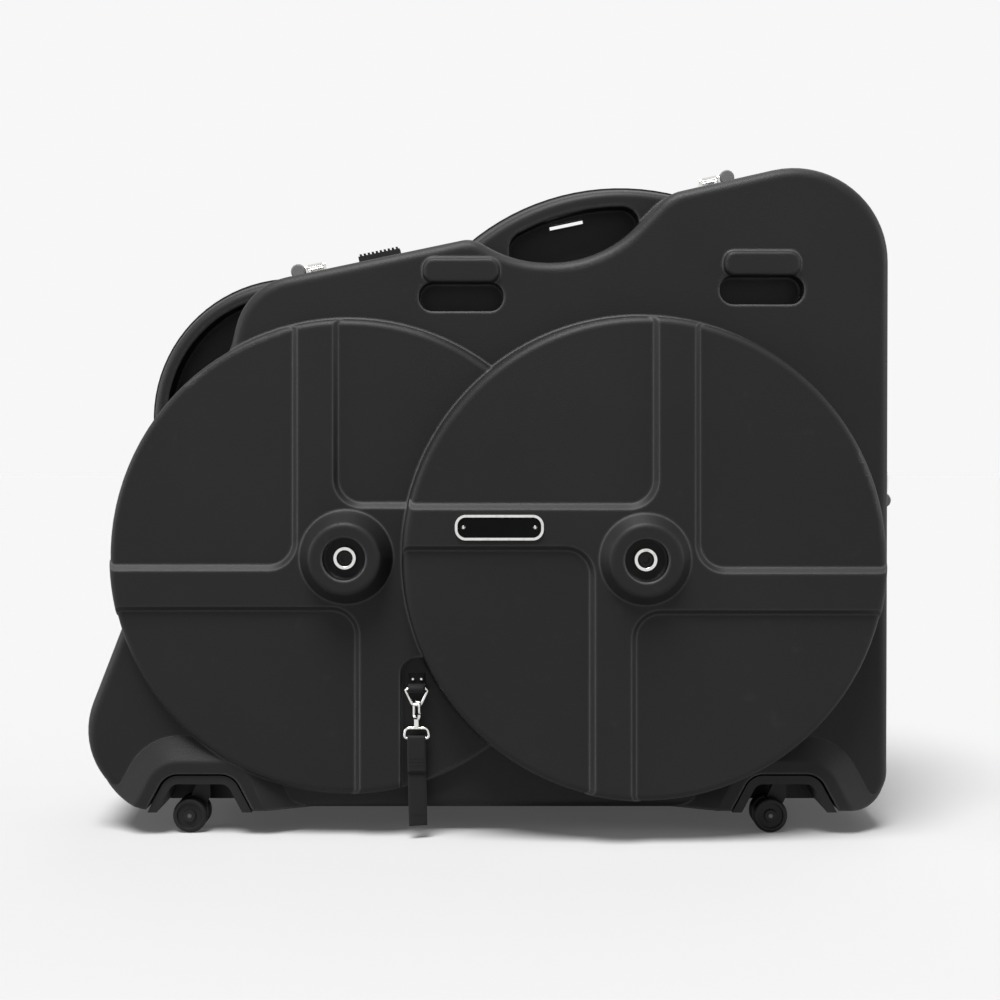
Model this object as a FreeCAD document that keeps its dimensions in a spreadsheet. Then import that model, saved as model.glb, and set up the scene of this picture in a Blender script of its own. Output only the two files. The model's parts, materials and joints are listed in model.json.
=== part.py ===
import FreeCAD, Part
import math
import os

# Clamshell bike travel case, millimetres, +Z up, origin on the floor under the middle of the case.
# The viewer of the front half looks along +Y. Depths are measured from the parting plane of the halves,
# towards the viewer, and the case is modelled about that plane before it is centred.

doc = FreeCAD.newDocument("BikeTravelCase")
sheet = doc.addObject("Spreadsheet::Sheet", "Sizes")

sizeRows = [
    # whole case
    ("bodyLength", 1136), ("bodyHeight", 949), ("groundClearance", 36),
    ("frontDepth", 120), ("backDepth", 165), ("wallThick", 3), ("rimGrow", 6), ("backTaper", 8),
    ("frontEdgeRadius", 16), ("backEdgeRadius", 30), ("bottomLeftRadius", 109), ("bottomRightRadius", 50),
    ("topRightRadius", 135), ("topLeftRadius", 95), ("leftShoulderRadius", 30), ("scoopRadius", 175),
    ("shoulderRadius", 60), ("crestRadius", 40),
    # wheel dishes
    ("hubSpacing", 416), ("hubHeight", 396), ("hubOffset", 11), ("dishRadius", 334), ("dishDraft", 21),
    ("dishEdgeRadius", 10), ("leftDishDepth", 150), ("rightDishDepth", 195), ("backDishDepth", 140),
    ("panelStep", 7), ("armNear", 12), ("armWidth", 64), ("panelCornerRadius", 34),
    # hub bosses
    ("bossRadius", 76), ("bossRingRadius", 49), ("bossHoleRadius", 30), ("bossEdgeRadius", 7),
    ("leftBossHeight", 36), ("rightBossHeight", 20), ("bossHoleDepth", 22),
    ("hubRingRadius", 16), ("hubRingBore", 11), ("hubRingThick", 9),
    ("skewerRadius", 6), ("skewerHeadRadius", 9.5), ("skewerHeadThick", 6), ("hubConeRadius", 15),
    ("hubConeLength", 12), ("skewerInset", 3),
    # carrying handles
    ("handleDepth", 45), ("handleWebThick", 5), ("topHandleRadius", 351), ("topHandleRise", 124),
    ("topHandleShift", 98), ("topHandleBar", 32), ("gripLength", 193), ("gripShift", 71), ("gripRadius", 26),
    ("cornerHandleRadius", 208.5), ("cornerHandleReach", 54), ("cornerHandleDrop", 188),
    ("cornerHandleBar", 27),
    ("handleEdgeRadius", 11), ("handleTaper", 10),
    ("slitLength", 52), ("slitHeight", 7), ("slitDrop", 57), ("slitOffset", 80),
    # finger recesses
    ("lipLength", 105), ("lipHeight", 32), ("lipProud", 9), ("pocketLength", 121), ("pocketHeight", 42),
    ("pocketDepth", 30), ("lipEdgeRadius", 4), ("lipCornerRadius", 13), ("pocketCornerRadius", 20),
    ("leftRecessOffset", 36), ("leftRecessDrop", 60.5), ("rightRecessOffset", 393),
    ("rightRecessDrop", 147.5),
    # wheel arches and casters
    ("archSpan", 152), ("archTopSpan", 96), ("archHeight", 52), ("archCornerRadius", 30),
    ("flareProud", 17), ("flareRun", 34), ("flareLip", 17), ("flareEdgeRadius", 8),
    ("casterSpacing", 829), ("casterShift", 8), ("casterSetback", 22), ("housingGap", 3), ("housingWall", 12),
    ("housingDepth", 76), ("housingBack", 5), ("casterWheelRadius", 24.6), ("casterWheelWidth", 16),
    ("casterWheelGap", 12), ("casterTrail", 17), ("stemRadius", 6), ("forkThick", 8), ("forkBoss", 9),
    ("casterAxleRadius", 3), ("turnClearance", 0.05), ("treadRadius", 5), ("wheelDishDepth", 3),
    ("forkHeadRadius", 13), ("forkHeadThick", 5),
    # rim seal and hinge
    ("sealThick", 6), ("sealProud", 2.5), ("sealWidth", 11), ("seatGap", 0.3),
    ("hingeBarrelRadius", 5), ("hingePinRadius", 2.5), ("hingeLength", 84), ("hingeSpacing", 220),
    ("hingeLeafThick", 2.5), ("hingeLeafReach", 34), ("hingeGap", 1),
    # latches
    ("latchWidth", 30), ("latchPlateThick", 2.5), ("latchPivotDepth", 27), ("latchPivotHeight", 12),
    ("latchPinRadius", 2), ("latchEarThick", 3), ("latchEarRadius", 5), ("latchPlateReach", 34),
    ("latchLeverThick", 3), ("latchReach", 22), ("keeperBar", 3), ("keeperPlateReach", 40),
    ("lockBarrelRadius", 11), ("lockBarrelLength", 24), ("latchRimGap", 5),
    # bumper on the top edge
    ("bumperLength", 62), ("bumperWidth", 26), ("bumperThick", 12), ("bumperSetback", 34), ("ribPitch", 6),
    ("ribHeight", 3),
    # badge
    ("badgeLength", 122), ("badgeHeight", 35), ("badgeCornerRadius", 15), ("badgeThick", 2),
    ("badgeFrameWidth", 3.5), ("badgeFrameThick", 3), ("badgeRivetRadius", 3), ("badgeOffset", 201),
    ("badgeRise", 44),
    # strap pocket and pull strap
    ("strapOffset", 98), ("pocketWallOffset", 121), ("strapPocketTop", 255), ("strapPocketRadius", 24),
    ("strapPocketDepth", 14),
    ("strapWidth", 26), ("strapThick", 2), ("strapLength", 124), ("strapRise", 211), ("strapStandoff", 15),
    ("anchorPlateHeight", 24), ("anchorPlateWidth", 24), ("anchorPlateThick", 2), ("anchorRivetRadius", 3),
    ("ringWire", 2), ("ringCornerRadius", 2.4),
    ("ringHeight", 22), ("ringSpan", 33), ("ringFootSpan", 12), ("hookLength", 25), ("hookWidth", 14),
    ("hookWire", 2.5), ("hookTurn", 55), ("gateWire", 1.8), ("swivelRadius", 4.5), ("swivelLength", 8),
    ("dRingHeight", 14), ("dRingSpan", 36), ("linkGap", 0.4),
    # inside
    ("foamThick", 10), ("tieWidth", 38), ("tieThick", 2), ("tieSpacing", 240), ("tieLength", 560),
    ("buckleLength", 46), ("buckleThick", 8),
    # cuts reach this far past the faces that they open
    ("overrun", 40),
]
for row, (alias, value) in enumerate(sizeRows, start=1):
    sheet.set(f"A{row}", alias)
    sheet.set(f"B{row}", str(value))
    sheet.setAlias(f"B{row}", alias)
# how far the finished case is moved to stand about the origin
for row, alias in enumerate(("centreX", "centreY"), start=len(sizeRows) + 1):
    sheet.set(f"A{row}", alias)
    sheet.set(f"B{row}", "0")
    sheet.setAlias(f"B{row}", alias)
doc.recompute()


class SheetSizes:
    def __getattr__(self, alias):
        return float(sheet.get(alias))


size = SheetSizes()
leftHubX = size.hubOffset - size.hubSpacing / 2
rightHubX = size.hubOffset + size.hubSpacing / 2
leftPanelDepth = size.leftDishDepth - size.panelStep
rightPanelDepth = size.rightDishDepth - size.panelStep
leftBossTop = leftPanelDepth + size.leftBossHeight + size.panelStep
rightBossTop = rightPanelDepth + size.rightBossHeight + size.panelStep
rim = size.sealThick / 2
Vector = FreeCAD.Vector
yAxis = Vector(0, 1, 0)


def place(x, depth, z):
    return Vector(x, -depth, z)


def flat(x, z):
    return Vector(x, z, 0)


def insetCorners(points, inset):
    """Corners of a counter-clockwise polygon after each side has moved inwards."""
    sides = []
    for start, end in zip(points, points[1:] + points[:1]):
        along = (end - start).normalize()
        inward = Vector(-along.y, along.x, 0)
        sides.append((start + inward * inset, along))
    corners = []
    for index, (base, along) in enumerate(sides):
        lastBase, lastAlong = sides[index - 1]
        gap = base - lastBase
        lean = lastAlong.x * along.y - lastAlong.y * along.x
        corners.append(lastBase + lastAlong * ((gap.x * along.y - gap.y * along.x) / lean))
    return corners


def roundedWire(points, radii, lift, inset=0):
    """Closed wire round a polygon, each corner an arc of its own radius (0 keeps it sharp)."""
    corners = insetCorners(points, inset)
    stations = []
    for index, corner in enumerate(corners):
        before = (corners[index - 1] - corner).normalize()
        after = (corners[(index + 1) % len(corners)] - corner).normalize()
        half = before.getAngle(after) / 2
        convex = after.cross(before).z > 0
        radius = radii[index]
        if radius:
            radius += -inset if convex else inset
        reach = radius / math.tan(half)
        bisector = (before + after).normalize()
        middle = corner + bisector * (radius / math.sin(half) - radius)
        stations.append((radius, corner + before * reach, middle, corner + after * reach))
    edges = []
    for index, (radius, first, middle, last) in enumerate(stations):
        if radius:
            edges.append(Part.Arc(lift(first), lift(middle), lift(last)).toShape())
        following = stations[(index + 1) % len(stations)][1]
        if last.distanceToPoint(following) > Part.Vertex(last).Tolerance:
            edges.append(Part.LineSegment(lift(last), lift(following)).toShape())
    return Part.Wire(edges)


def prism(points, radii, nearDepth, farDepth, nearInset=0, farInset=0):
    """Solid between two depths, with its outline moved inwards by its own amount at each."""
    wires = []
    for depth, inset in ((nearDepth, nearInset), (farDepth, farInset)):
        wires.append(roundedWire(points, radii, lambda spot: place(spot.x, depth, spot.y), inset))
    return Part.makeLoft(wires, True, True)


def turned(x, z, profile, radii):
    """Solid of revolution about the line along Y through (x, z), from (radius, depth) corners."""
    corners = [flat(*corner) for corner in profile]
    wire = roundedWire(corners, radii, lambda spot: place(x + spot.x, spot.y, z))
    return Part.Face(wire).revolve(place(x, 0, z), yAxis, 360)


def disc(x, z, radius, nearDepth, farDepth):
    return Part.makeCylinder(radius, farDepth - nearDepth, place(x, nearDepth, z), -yAxis)


def block(x, depth, z):
    """Box between pairs of limits in X, depth and Z."""
    corner = place(x[0], depth[1], z[0])
    return Part.makeBox(x[1] - x[0], depth[1] - depth[0], z[1] - z[0], corner)


def union(shapes):
    whole = shapes[0]
    for shape in shapes[1:]:
        whole = whole.fuse(shape)
    return whole.removeSplitter()


def without(whole, shapes):
    for shape in shapes:
        whole = whole.cut(shape)
    return whole


def roundAt(shape, depth, radius):
    """Fillet along the edges that lie in the plane at a depth."""
    slack = radius / 100
    edges = [edge for edge in shape.Edges if max(abs(vertex.Y + depth) for vertex in edge.Vertexes) < slack]
    return shape.makeFillet(radius, edges)


def mirrored(shape):
    """The same shape on the other side of the parting plane."""
    return shape.mirror(place(0, 0, 0), yAxis)


nodes = []


def keep(name, shape):
    """A finished piece as an object of the document, labelled with its node's name."""
    piece = doc.addObject("Part::Feature", name)
    piece.Shape = shape
    piece.Label = name
    nodes.append(piece)
    return piece


def bound(kind, label, spot, axis, **sizes):
    """A primitive of the document, its own Z laid along an axis from a spot of X, depth and Z.
    Sizes and spot are expressions of the sheet's cells."""
    item = doc.addObject(kind, label)
    for name, expression in sizes.items():
        item.setExpression(name, expression)
    item.Placement = FreeCAD.Placement(Vector(), FreeCAD.Rotation(Vector(0, 0, 1), axis))
    x, depth, z = spot
    item.setExpression("Placement.Base.x", f"{x} + Sizes.centreX")
    item.setExpression("Placement.Base.y", f"Sizes.centreY - ({depth})")
    item.setExpression("Placement.Base.z", z)
    return item


def keepBound(kind, label, **links):
    """A node made from other objects of the document, as a compound or by a fusion or cut."""
    piece = doc.addObject(kind, label)
    for name, value in links.items():
        setattr(piece, name, value)
    boundNodes.append(piece)
    return piece


boundNodes = []
hubExpressions = {
    "left": "Sizes.hubOffset - Sizes.hubSpacing / 2",
    "right": "Sizes.hubOffset + Sizes.hubSpacing / 2",
}
casterExpressions = {
    "left": "Sizes.casterShift - Sizes.casterSpacing / 2",
    "right": "Sizes.casterShift + Sizes.casterSpacing / 2",
}

# Outline of the case: shares of its length from the middle and of its height from the bottom edge
outlineShares = [
    (-0.5467, 0), (0.5045, 0), (0.5070, 1), (0.2306, 0.9251), (0.1452, 0.8206),
    (0.0352, 0.8206), (-0.0176, 0.8578), (-0.3037, 0.7861), (-0.3213, 0.6976),
]
outlineRadii = [
    size.bottomLeftRadius, size.bottomRightRadius, size.topRightRadius, size.shoulderRadius,
    size.scoopRadius, size.scoopRadius, size.crestRadius, size.topLeftRadius, size.leftShoulderRadius,
]
outline = [
    flat(across * size.bodyLength, size.groundClearance + up * size.bodyHeight)
    for across, up in outlineShares
]
bottom = size.groundClearance
scoopX = (outline[4].x + outline[5].x) / 2
scoopZ = outline[4].y
topHandleX = scoopX + size.topHandleShift
topHandleZ = scoopZ + size.topHandleRise - size.topHandleRadius
cornerHandleX = outline[7].x + size.cornerHandleReach
cornerHandleZ = outline[7].y - size.cornerHandleDrop
topSlope = math.degrees(math.atan2(outline[6].y - outline[7].y, outline[6].x - outline[7].x))
leftPocketX = -size.pocketWallOffset
pocketFloor = size.leftDishDepth - size.strapPocketDepth
dishBaseRadius = size.dishRadius + size.dishDraft
hubs = {"left": leftHubX, "right": rightHubX}


def dishColumn(x, depth, start, wall=0):
    """Tapered column that a wheel lies in, with a rounded rim."""
    top = depth - wall
    profile = [(0, start), (dishBaseRadius - wall, start), (size.dishRadius - wall, top), (0, top)]
    return turned(x, size.hubHeight, profile, [0, 0, size.dishEdgeRadius, 0])


def pinwheel(x, turn, covered):
    """Outline of the four arms round a hub, each to one side of it; turn is 1 or -1 for the hand.
    The panel after a covered arm is left level with the arms."""
    near = size.armNear
    far = size.armNear + size.armWidth
    end = dishBaseRadius + size.overrun
    corners = []
    radii = []
    for quarter in range(4):
        arm = [(end, -far), (end, -near), (far, -near)]
        rounds = [0, 0, size.panelCornerRadius]
        if quarter in covered:
            arm = [(end, -far), (end, end)]
            rounds = [0, 0]
        if quarter - 1 in covered:
            arm = arm[1:]
            rounds = rounds[1:]
        for across, up in arm:
            for step in range(quarter):
                across, up = -up, across
            corners.append((across, up))
        radii += rounds
    points = [flat(x + turn * across, size.hubHeight + up) for across, up in corners]
    if turn < 0:
        points.reverse()
        radii.reverse()
    return points, radii


def dish(x, depth, turn, covered=()):
    """Wheel dish with its raised arms above the panels."""
    panel = depth - size.panelStep
    points, radii = pinwheel(x, turn, covered)
    arms = prism(points, radii, panel - size.panelStep, depth, -size.panelStep, size.panelStep)
    return union([dishColumn(x, panel, rim), dishColumn(x, depth, rim).common(arms)])


bossMidShares = (0.5, 0.3)


def boss(x, panel, top):
    """Flared hub boss with a flat ring round its hole."""
    base = panel - size.panelStep
    flare = size.bossRadius - size.bossRingRadius
    middle = (size.bossRingRadius + flare * bossMidShares[0], panel + (top - panel) * bossMidShares[1])
    profile = [(0, base), (size.bossRadius, base), middle, (size.bossRingRadius, top), (0, top)]
    return turned(x, size.hubHeight, profile, [0, 0, flare, size.bossEdgeRadius, 0])


def hubHole(x, top):
    floor = top - size.bossHoleDepth
    hole = disc(x, size.hubHeight, size.bossHoleRadius, floor, top + size.overrun)
    bore = disc(x, size.hubHeight, size.skewerRadius + size.turnClearance, rim, top)
    return [hole, bore]


def grip(x, z, radius, bar, wall=0):
    """Pocket behind a carrying bar, as wide as the bar leaves it."""
    near = rim + size.handleWebThick - wall
    return disc(x, z, radius - bar + wall, near, size.handleDepth + size.overrun)


def topGrip(wall=0):
    """The top handle's pocket, with its ends closed off and rounded."""
    pocket = grip(topHandleX, topHandleZ, size.topHandleRadius, size.topHandleBar, wall)
    half = size.gripLength / 2 + wall
    middle = topHandleX - size.gripShift
    limits = block((middle - half, middle + half), (0, size.handleDepth + size.overrun),
                   (topHandleZ, topHandleZ + size.topHandleRadius))
    pocket = pocket.common(limits)
    straight = [edge for edge in pocket.Edges if isinstance(edge.Curve, Part.Line)]
    ends = [edge for edge in straight
            if edge.CenterOfMass.z > scoopZ and abs(edge.tangentAt(edge.FirstParameter).y) == 1]
    return pocket.makeFillet(size.gripRadius + wall, ends)


def cornerGrip(wall=0):
    return grip(cornerHandleX, cornerHandleZ, size.cornerHandleRadius, size.cornerHandleBar, wall)


def handleArches(near, wall=0):
    """The two rounded arches that carry the handles, or the space inside them one wall in."""
    arches = []
    for x, z, radius in handleRounds:
        reach = radius - wall
        top = size.handleDepth - wall
        profile = [(0, near), (reach, near), (reach - size.handleTaper, top), (0, top)]
        arches.append(turned(x, z, profile, [0, 0, size.handleEdgeRadius - wall, 0]))
    return arches


handleRounds = ((topHandleX, topHandleZ, size.topHandleRadius),
                (cornerHandleX, cornerHandleZ, size.cornerHandleRadius))


def archOutline(x):
    """Wheel arch: a trapezium open at the bottom edge of the case."""
    low = bottom - size.overrun
    spread = (size.archSpan - size.archTopSpan) / 2 / size.archHeight
    half = size.archSpan / 2 + spread * size.overrun
    top = bottom + size.archHeight
    points = [(-half, low), (half, low), (size.archTopSpan / 2, top), (-size.archTopSpan / 2, top)]
    radii = [0, 0, size.archCornerRadius, size.archCornerRadius]
    return [flat(x + across, up) for across, up in points], radii


def flare(x, depth, taper=0):
    """Raised lip round a wheel arch, sloping down to the face and level with the bottom edge."""
    points, radii = archOutline(x)
    lip = -size.flareLip
    raised = prism(points, radii, depth - size.flareProud, depth + size.flareProud,
                   lip - 2 * size.flareRun, lip)
    raised = roundAt(raised, depth + size.flareProud, size.flareEdgeRadius)
    return raised.common(prism(outline, outlineRadii,
                               depth - 2 * size.flareProud, depth + 2 * size.flareProud,
                               taper, taper))


def archNotch(x, depth, wall=0):
    points, radii = archOutline(x)
    back = depth - size.housingDepth - wall
    return prism(points, radii, back, depth + size.overrun, -wall, -wall)


casterXs = (size.casterShift - size.casterSpacing / 2, size.casterShift + size.casterSpacing / 2)


def bar(x, z, length, height, corner):
    """Outline of a bar with rounded corners about its middle."""
    points = [(-length / 2, -height / 2), (length / 2, -height / 2),
              (length / 2, height / 2), (-length / 2, height / 2)]
    return [flat(x + across, z + up) for across, up in points], [corner] * 4


def fingerLip(x, z):
    """Raised bar above a finger pocket."""
    face = size.frontDepth
    points, radii = bar(x, z + size.lipHeight / 2, size.lipLength, size.lipHeight, size.lipCornerRadius)
    lip = prism(points, radii, face - size.wallThick, face + size.lipProud, -size.lipEdgeRadius, 0)
    return roundAt(lip, face + size.lipProud, size.lipEdgeRadius)


def fingerPocket(x, z, wall=0):
    points, radii = bar(x, z - size.pocketHeight / 2, size.pocketLength, size.pocketHeight,
                        size.pocketCornerRadius)
    face = size.frontDepth
    return prism(points, radii, face - size.pocketDepth - wall, face + size.overrun, -wall, -wall)


def topEdge(first, second, x):
    """Height of a side of the outline at X."""
    start, end = outline[first], outline[second]
    return start.y + (end.y - start.y) * (x - start.x) / (end.x - start.x)


recessPlaces = [
    (-size.leftRecessOffset, topEdge(7, 6, -size.leftRecessOffset) - size.leftRecessDrop),
    (size.rightRecessOffset, topEdge(3, 2, size.rightRecessOffset) - size.rightRecessDrop),
]


def casing(depth, taper, edge, dishes):
    """Outer form of one half without its cuts: handle arches with their pockets, tapered box and dishes."""
    box = roundAt(prism(outline, outlineRadii, rim, depth, -size.rimGrow, taper), depth, edge)
    arches = union(handleArches(rim))
    return [without(arches, [topGrip(), cornerGrip()]), box] + dishes


def hollow(depth, taper, edge, dishDepths):
    """Space inside one half, one wall in from its outer form."""
    wall = size.wallThick
    box = prism(outline, outlineRadii, 0, depth - wall, wall - size.rimGrow, wall + taper)
    box = roundAt(box, depth - wall, edge - wall)
    columns = [dishColumn(hubs[side], dishDepths[side], 0, wall) for side in hubs]
    arches = without(union(handleArches(0, wall)), [topGrip(wall), cornerGrip(wall)])
    return union([arches, box] + columns)


def viewSlit():
    """Narrow slit through both webs of the top handle."""
    x = topHandleX - size.slitOffset
    z = topHandleZ + size.topHandleRadius - size.slitDrop
    half = size.slitLength / 2
    slit = block((x - half, x + half), (-size.handleDepth, size.handleDepth), (z, z + size.slitHeight))
    slit.rotate(place(x, 0, z), yAxis, -topSlope)
    return slit


def strapPocket(wall=0):
    """Shallow cut in the left dish beside the right one."""
    left = leftPocketX - wall
    right = rightHubX
    low = bottom - wall
    points = [flat(left, low), flat(right, low), flat(right, size.strapPocketTop + wall),
              flat(left, size.strapPocketTop + wall)]
    radii = [0, 0, 0, size.strapPocketRadius + wall]
    return prism(points, radii, pocketFloor - wall, size.leftDishDepth + size.overrun)


def frontShell():
    leftDish = dish(leftHubX, size.leftDishDepth, -1, covered=(2,))
    leftDish = union([leftDish, boss(leftHubX, leftPanelDepth, leftBossTop)]).cut(strapPocket())
    rightDish = dish(rightHubX, size.rightDishDepth, 1)
    rightDish = union([rightDish, boss(rightHubX, rightPanelDepth, rightBossTop)])
    lips = [fingerLip(x, z) for x, z in recessPlaces]
    flares = [flare(x, size.frontDepth) for x in casterXs]
    outer = union(casing(size.frontDepth, 0, size.frontEdgeRadius, [leftDish, rightDish]) + lips + flares)
    dishDepths = {"left": leftPanelDepth, "right": rightPanelDepth}
    inner = hollow(size.frontDepth, 0, size.frontEdgeRadius, dishDepths)
    guards = [fingerPocket(x, z, size.wallThick) for x, z in recessPlaces]
    guards += [archNotch(x, size.frontDepth, size.wallThick) for x in casterXs]
    guards += [strapPocket(size.wallThick).cut(dishColumn(rightHubX, size.rightDishDepth, 0))]
    inner = without(inner, guards)
    cuts = [fingerPocket(x, z) for x, z in recessPlaces] + [archNotch(x, size.frontDepth) for x in casterXs]
    cuts += [viewSlit()]
    cuts += hubHole(leftHubX, leftBossTop) + hubHole(rightHubX, rightBossTop)
    return without(outer, [inner] + cuts)


def backShell():
    columns = [dishColumn(x, size.backDishDepth, rim) for x in hubs.values()]
    flares = [flare(x, size.backDepth, size.backTaper) for x in casterXs]
    outer = union(casing(size.backDepth, size.backTaper, size.backEdgeRadius, columns) + flares)
    dishDepths = dict.fromkeys(hubs, size.backDishDepth)
    inner = hollow(size.backDepth, size.backTaper, size.backEdgeRadius, dishDepths)
    inner = without(inner, [archNotch(x, size.backDepth, size.wallThick) for x in casterXs])
    cuts = [archNotch(x, size.backDepth) for x in casterXs]
    return mirrored(without(outer, [inner] + cuts)).cut(viewSlit())


keep("front_shell", frontShell())
keep("back_shell", backShell())


def footprint(grow, near, far):
    """Slab of the case's whole outline at the parting plane, grown all round."""
    edge = -size.rimGrow - grow
    parts = [prism(outline, outlineRadii, near, far, edge, edge)]
    parts += [disc(x, size.hubHeight, dishBaseRadius + grow, near, far) for x in hubs.values()]
    parts += [disc(x, z, radius + grow, near, far) for x, z, radius in handleRounds]
    return union(parts)


def rimSeal():
    inner = footprint(size.sealProud - size.sealWidth, -size.sealThick, size.sealThick)
    return footprint(size.sealProud, -rim, rim - size.seatGap).cut(inner)


keep("rim_seal", rimSeal())

# Wheel skewers: a chrome ring in each boss hole, the turning skewer through it and a cone for the wheel's hub
for side, top in (("left", leftBossTop), ("right", rightBossTop)):
    hubX = hubs[side]
    floor = top - size.bossHoleDepth
    ring = disc(hubX, size.hubHeight, size.hubRingRadius, floor, floor + size.hubRingThick)
    ring = ring.cut(disc(hubX, size.hubHeight, size.hubRingBore, floor, floor + size.hubRingThick))
    keep(f"hub_ring_{side}", roundAt(ring, floor + size.hubRingThick, size.skewerInset / 3))
    headTop = floor + size.seatGap + size.skewerHeadThick
    coneEnd = size.frontDepth - size.wallThick
    skewer = union([
        disc(hubX, size.hubHeight, size.skewerRadius, coneEnd, headTop - size.skewerInset),
        disc(hubX, size.hubHeight, size.skewerHeadRadius, floor + size.seatGap, headTop),
    ])
    socket = Part.makePolygon([
        place(hubX + size.skewerRadius * math.cos(corner * math.pi / 3), headTop - size.skewerInset,
              size.hubHeight + size.skewerRadius * math.sin(corner * math.pi / 3)) for corner in range(7)
    ])
    keep(f"skewer_{side}", skewer.cut(Part.Face(socket).extrude(-yAxis * size.skewerInset)))
    panelFace = f"Sizes.{side}DishDepth - Sizes.panelStep"
    coneNear = f"{panelFace} - Sizes.wallThick - Sizes.seatGap - Sizes.hubConeLength"
    spot = (hubExpressions[side], coneNear, "Sizes.hubHeight")
    cone = bound("Part::Cone", f"hub_cone_body_{side}", spot, -yAxis, Radius1="Sizes.hubConeRadius / 2",
                 Radius2="Sizes.hubConeRadius", Height="Sizes.hubConeLength")
    bore = bound("Part::Cylinder", f"hub_cone_bore_{side}", spot, -yAxis, Radius="Sizes.skewerRadius",
                 Height="Sizes.hubConeLength")
    keepBound("Part::Cut", f"hub_cone_{side}", Base=cone, Tool=bore)

# Casters: a housing in each wheel arch, a swivelling fork with its stem, twin wheels on an axle
ceiling = bottom + size.archHeight - size.housingGap - size.housingWall
archTop = bottom + size.archHeight - size.housingGap
axleZ = size.casterWheelRadius


def casterHousing(x, depth):
    points, radii = archOutline(x)
    back = depth - size.housingDepth
    gap = size.housingGap
    front = depth + size.flareProud - gap
    skirt = prism(points, radii, back, front, gap, gap)
    inside = prism(points, radii, back + size.housingBack, front + size.overrun, gap + size.housingWall,
                   gap + size.housingWall)
    reach = size.archSpan
    foot = block((x - reach, x + reach), (back - size.overrun, front + size.overrun), (bottom - gap, archTop))
    bore = Part.makeCylinder(size.stemRadius + size.turnClearance, archTop,
                             place(x, depth - size.casterSetback, 0))
    return without(skirt, [inside, bore]).common(foot)


def casterFork(x, depth):
    headLow = ceiling - size.seatGap - size.forkHeadThick
    trail = size.casterTrail
    boss = size.forkBoss
    points = [flat(x - trail - boss, axleZ - boss), flat(x - trail + boss, axleZ - boss),
              flat(x + boss, ceiling / 2 + axleZ / 2), flat(x + boss, headLow + size.forkHeadThick / 2),
              flat(x - boss, headLow + size.forkHeadThick / 2), flat(x - trail - boss, axleZ + boss)]
    half = size.forkThick / 2
    plate = prism(points, [boss / 2] * 3 + [0, 0] + [boss / 2], depth - half, depth + half)
    centre = place(x, depth, headLow)
    head = Part.makeCylinder(size.forkHeadRadius, size.forkHeadThick, centre)
    stem = Part.makeCylinder(size.stemRadius, archTop - headLow - size.housingGap, centre)
    axleHole = disc(x - trail, axleZ, size.casterAxleRadius, depth - size.forkThick, depth + size.forkThick)
    return union([plate, head, stem]).cut(axleHole)


wheelHubShares = (0.34, 0.38, 0.70, 0.74)


def casterWheel(x, near, far):
    """One wheel of a pair, dished on its far side."""
    radius = size.casterWheelRadius
    bore = size.casterAxleRadius + size.turnClearance
    dished = far - math.copysign(size.wheelDishDepth, far - near)
    hub, hubFoot, rimFoot, rimEdge = [share * radius for share in wheelHubShares]
    profile = [(bore, near), (radius, near), (radius, far), (rimEdge, far), (rimFoot, dished),
               (hubFoot, dished), (hub, far), (bore, far)]
    tread = size.treadRadius
    return turned(x, axleZ, profile, [0, tread, tread, 0, 0, 0, 0, 0])


def casterWheels(x, depth):
    near = size.casterWheelGap / 2
    far = near + size.casterWheelWidth
    wheelX = x - size.casterTrail
    wheels = [casterWheel(wheelX, depth + sign * near, depth + sign * far) for sign in (1, -1)]
    return Part.makeCompound(wheels)


axleHalf = "(Sizes.casterWheelGap / 2 + Sizes.casterWheelWidth)"
caseHalves = (("front", size.frontDepth, lambda shape: shape), ("back", size.backDepth, mirrored))
for half, depth, turn in caseHalves:
    for side, x in zip(hubs, casterXs):
        stemDepth = depth - size.casterSetback
        keep(f"caster_housing_{half}_{side}", turn(casterHousing(x, depth)))
        keep(f"caster_fork_{half}_{side}", turn(casterFork(x, stemDepth)))
        keep(f"caster_wheels_{half}_{side}", turn(casterWheels(x, stemDepth)))
        sign = {"front": "1", "back": "-1"}[half]
        axle = bound("Part::Cylinder", f"caster_axle_{half}_{side}",
                     (f"{casterExpressions[side]} - Sizes.casterTrail",
                      f"{sign} * (Sizes.{half}Depth - Sizes.casterSetback) - {axleHalf}",
                      "Sizes.casterWheelRadius"),
                     -yAxis, Radius="Sizes.casterAxleRadius", Height=f"2 * {axleHalf}")
        boundNodes.append(axle)

# Bottom hinge: three pairs of leaves under the rim, on one axis along X
hingeZ = bottom - size.rimGrow - size.sealProud - size.hingeBarrelRadius - size.hingeGap
hingeXs = (size.hubOffset - size.hingeSpacing, size.hubOffset, size.hubOffset + size.hingeSpacing)
knuckle = size.hingeLength / 3


def underside(depth, faceDepth, taper):
    """Height of the bottom of one half at a depth."""
    return bottom - size.rimGrow + (size.rimGrow + taper) * (depth - rim) / (faceDepth - rim)


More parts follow.
